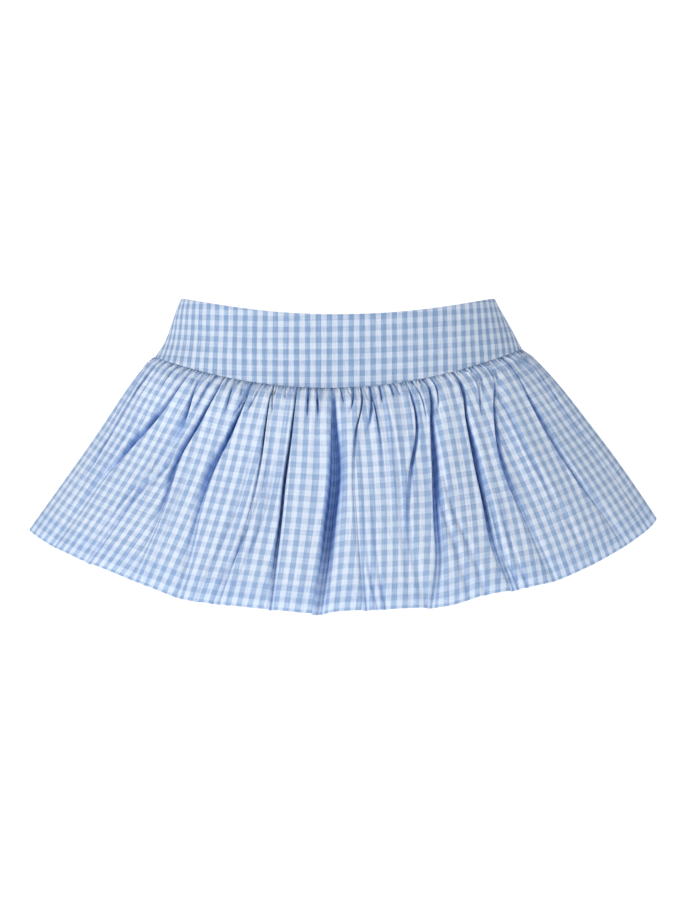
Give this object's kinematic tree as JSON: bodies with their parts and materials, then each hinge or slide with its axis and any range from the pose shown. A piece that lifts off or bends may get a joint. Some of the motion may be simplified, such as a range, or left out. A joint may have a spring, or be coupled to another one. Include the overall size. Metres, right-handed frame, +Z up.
{
  "type": "gathered skort",
  "caption": "Short gathered skirt with a smooth fitted yoke and plain shorts under it, hollow as worn, in a pale blue gingham check.",
  "frame": {"origin": "middle of the waist opening, level with the yoke's top edge at the side seams, where the wearer's hips hold the garment", "axes": "+Z up out of the waist, -Y the wearer's front, +X the wearer's left"},
  "size_m": [0.56, 0.318, 0.277],
  "materials": {
    "gingham": "matt woven cotton",
    "jersey": "matt knitted cotton"
  },
  "bodies": {
    "root": {"yoke_front": "gingham", "yoke_back": "gingham", "skirt_front": "gingham", "skirt_back": "gingham", "shorts_left": "jersey", "shorts_right": "jersey"}
  },
  "joints": []
}
